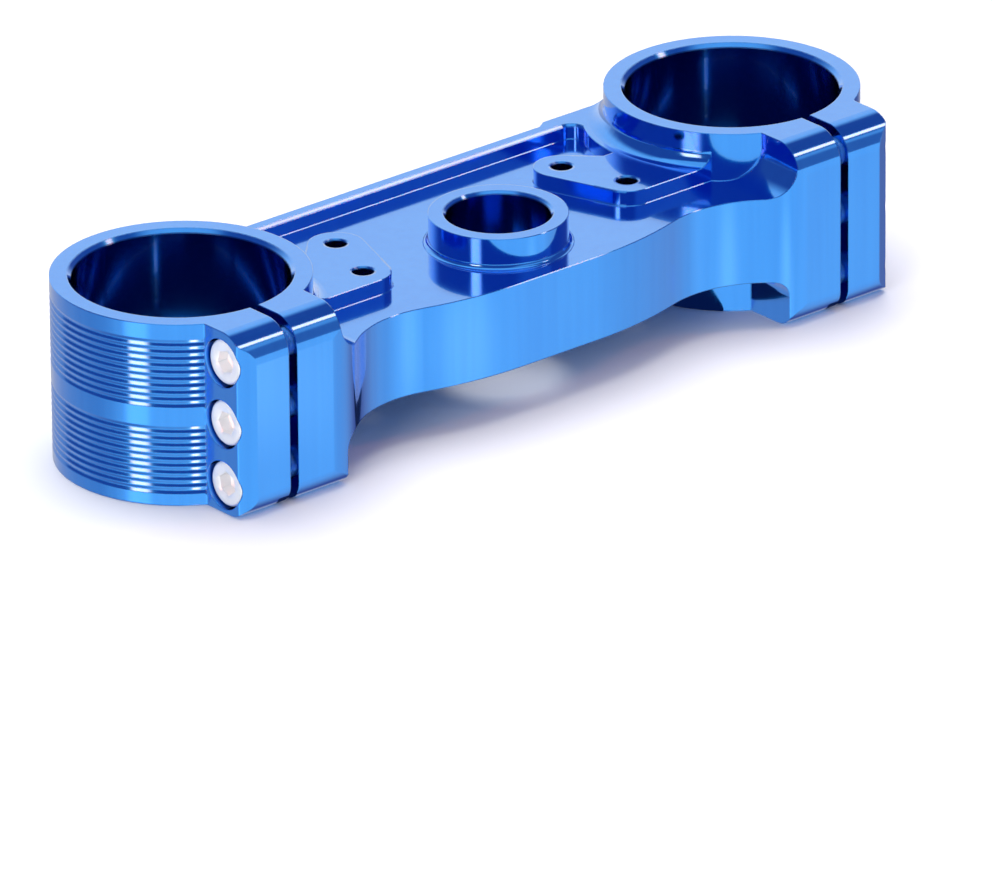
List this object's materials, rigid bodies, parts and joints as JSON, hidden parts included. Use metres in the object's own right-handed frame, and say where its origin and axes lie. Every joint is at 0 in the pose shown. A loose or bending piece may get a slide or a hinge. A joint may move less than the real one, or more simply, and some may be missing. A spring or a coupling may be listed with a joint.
{
  "type": "motorcycle triple clamp",
  "caption": "Lower fork clamp machined from billet: split fork rings at both ends with grooved sides, a web with raised rim and fender pads, and a stem boss.",
  "frame": {"origin": "middle of the bounding box at its base, so the fork bore axes lie 5.7 mm towards +Y", "axes": "+X runs across the motorcycle through both fork bores, +Z is along the fork bores towards the side with the stem boss, -Y is the side where the fork clamps are slit"},
  "size_m": [0.272, 0.0834, 0.0535],
  "materials": {
    "blue_anodised": "polished, bright blue anodised",
    "plated_steel": "bright plated"
  },
  "bodies": {
    "root": {"clamp_body": "blue_anodised", "pinch_bolt_right_low": "plated_steel", "pinch_bolt_right_middle": "plated_steel", "pinch_bolt_right_high": "plated_steel", "pinch_bolt_left_low": "plated_steel", "pinch_bolt_left_middle": "plated_steel", "pinch_bolt_left_high": "plated_steel"}
  },
  "joints": []
}
